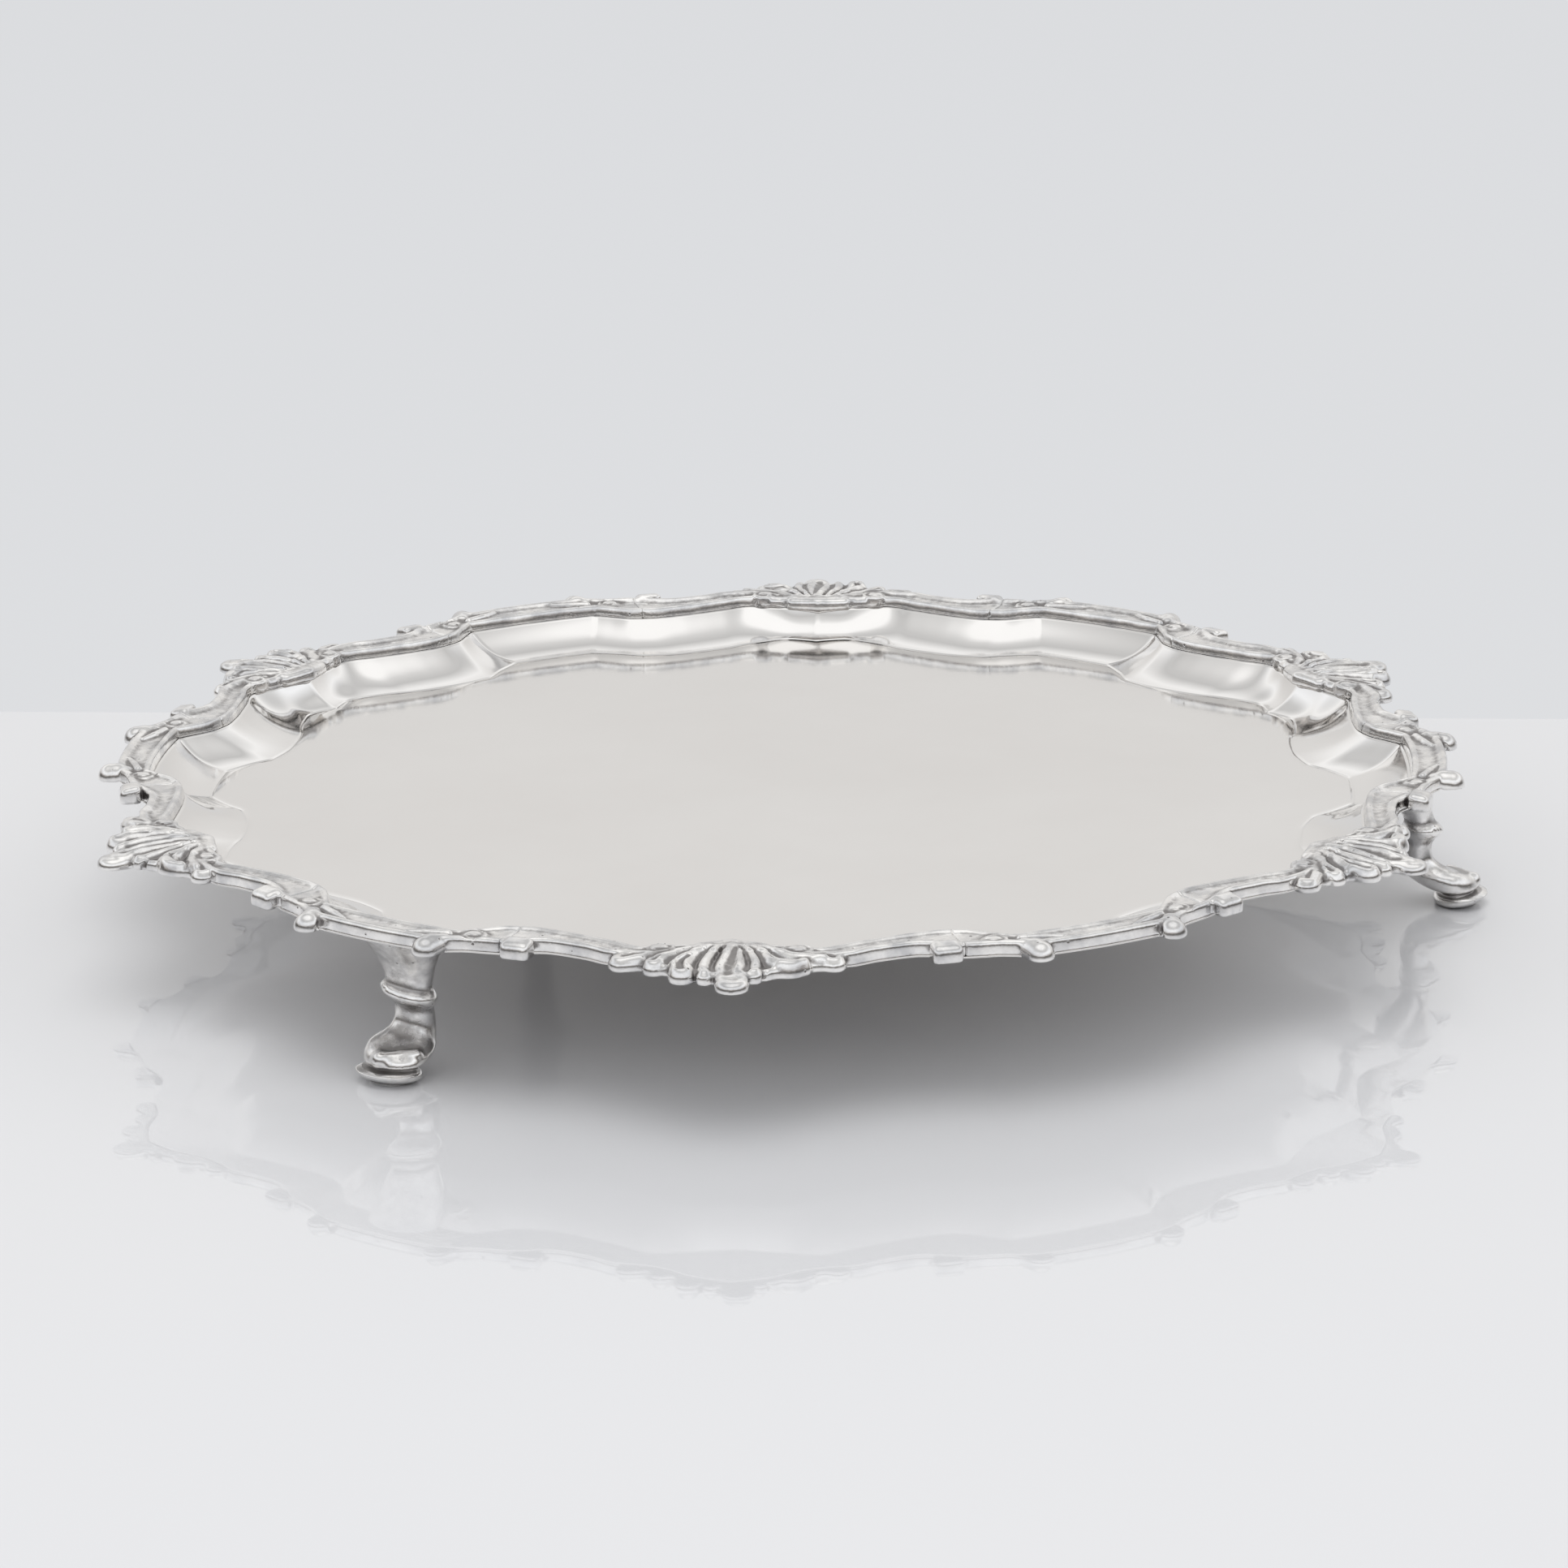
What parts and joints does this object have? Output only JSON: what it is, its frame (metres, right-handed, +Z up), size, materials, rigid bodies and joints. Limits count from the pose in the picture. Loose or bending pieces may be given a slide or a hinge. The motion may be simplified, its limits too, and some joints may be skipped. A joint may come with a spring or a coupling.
{
  "type": "silver salver",
  "caption": "Shaped round footed silver tray with a flat field, a coved wall, a cast shell and scroll border and cast hoof feet, for serving and carrying glasses or cards.",
  "frame": {"origin": "centre of the flat field's top face; the floor that the feet stand on is 24.6 mm below it", "axes": "+Z up out of the field, -Y through the middle of one shell of the border, +X half-way between two shells and over one foot"},
  "size_m": [0.2924, 0.3052, 0.0338],
  "materials": {
    "satin_silver": "sterling silver sheet, hand polished, with fine hairlines",
    "cast_silver": "cast and chased sterling silver, polished on the high parts, with dark oxide in the recesses and casting pits",
    "foot_silver": "cast sterling silver, polished, with small casting pits"
  },
  "bodies": {
    "root": {"salver_plate": "satin_silver", "shell_casting_1": "cast_silver", "shell_casting_2": "cast_silver", "shell_casting_3": "cast_silver", "shell_casting_4": "cast_silver", "shell_casting_5": "cast_silver", "shell_casting_6": "cast_silver", "scroll_casting_1": "cast_silver", "scroll_casting_2": "cast_silver", "scroll_casting_3": "cast_silver", "scroll_casting_4": "cast_silver", "scroll_casting_5": "cast_silver", "scroll_casting_6": "cast_silver", "foot_1": "foot_silver", "foot_2": "foot_silver", "foot_3": "foot_silver"}
  },
  "joints": []
}
